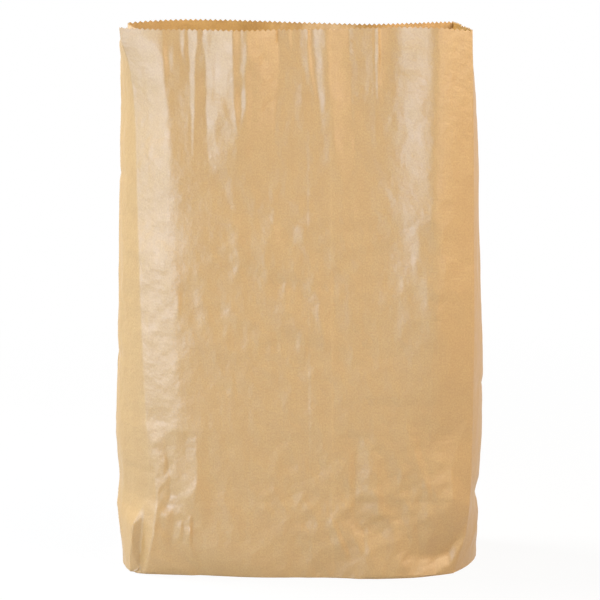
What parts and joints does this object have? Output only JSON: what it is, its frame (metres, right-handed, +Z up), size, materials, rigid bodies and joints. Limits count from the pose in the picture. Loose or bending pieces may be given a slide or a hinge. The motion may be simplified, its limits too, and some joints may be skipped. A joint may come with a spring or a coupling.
{
  "type": "paper bin liner",
  "caption": "Standing brown kraft paper bag with gusseted sides, a flat block bottom, a lap seam and an open saw-cut mouth, for lining a small waste bin.",
  "frame": {"origin": "middle of the base, on the surface that the bag stands on", "axes": "+Z up towards the open mouth, -Y towards the front panel with the lap seam, +X to the right seen from the front"},
  "size_m": [0.2373, 0.1076, 0.3472],
  "materials": {
    "kraft_paper": "machine-glazed brown kraft paper, satin, lightly creased"
  },
  "bodies": {
    "root": {"paper_bag": "kraft_paper"}
  },
  "joints": []
}
